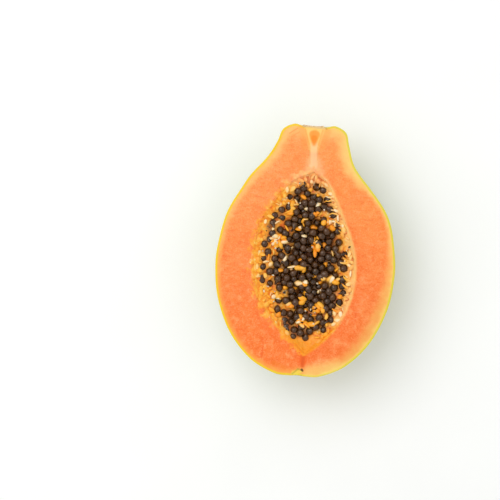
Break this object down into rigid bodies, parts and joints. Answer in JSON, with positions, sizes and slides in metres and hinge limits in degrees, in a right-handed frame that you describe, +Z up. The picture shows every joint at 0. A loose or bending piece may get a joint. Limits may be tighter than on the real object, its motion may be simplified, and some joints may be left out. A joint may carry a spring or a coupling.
{
  "type": "papaya half",
  "caption": "Ripe papaya cut in half lengthways, lying on its round back with the flesh and the seed-filled cavity facing up.",
  "frame": {"origin": "middle of the object's box in X and Y, at the flat spot that it lies on", "axes": "+Y along the fruit towards its stem end, +Z up out of the cut face, +X to the right of someone who looks down on the cut face with the stem end at the top"},
  "size_m": [0.1266, 0.1772, 0.0598],
  "materials": {
    "skin_and_flesh": "moist orange flesh, with a thin green-yellow waxy skin outside",
    "pulp": "wet yellow-orange pulp, in lumps and pale threads",
    "seeds": "dark wrinkled seeds, each in a thin clear coat with a soft shine"
  },
  "bodies": {
    "root": {"papaya_half": "skin_and_flesh", "pulp": "pulp", "seeds": "seeds"}
  },
  "joints": []
}
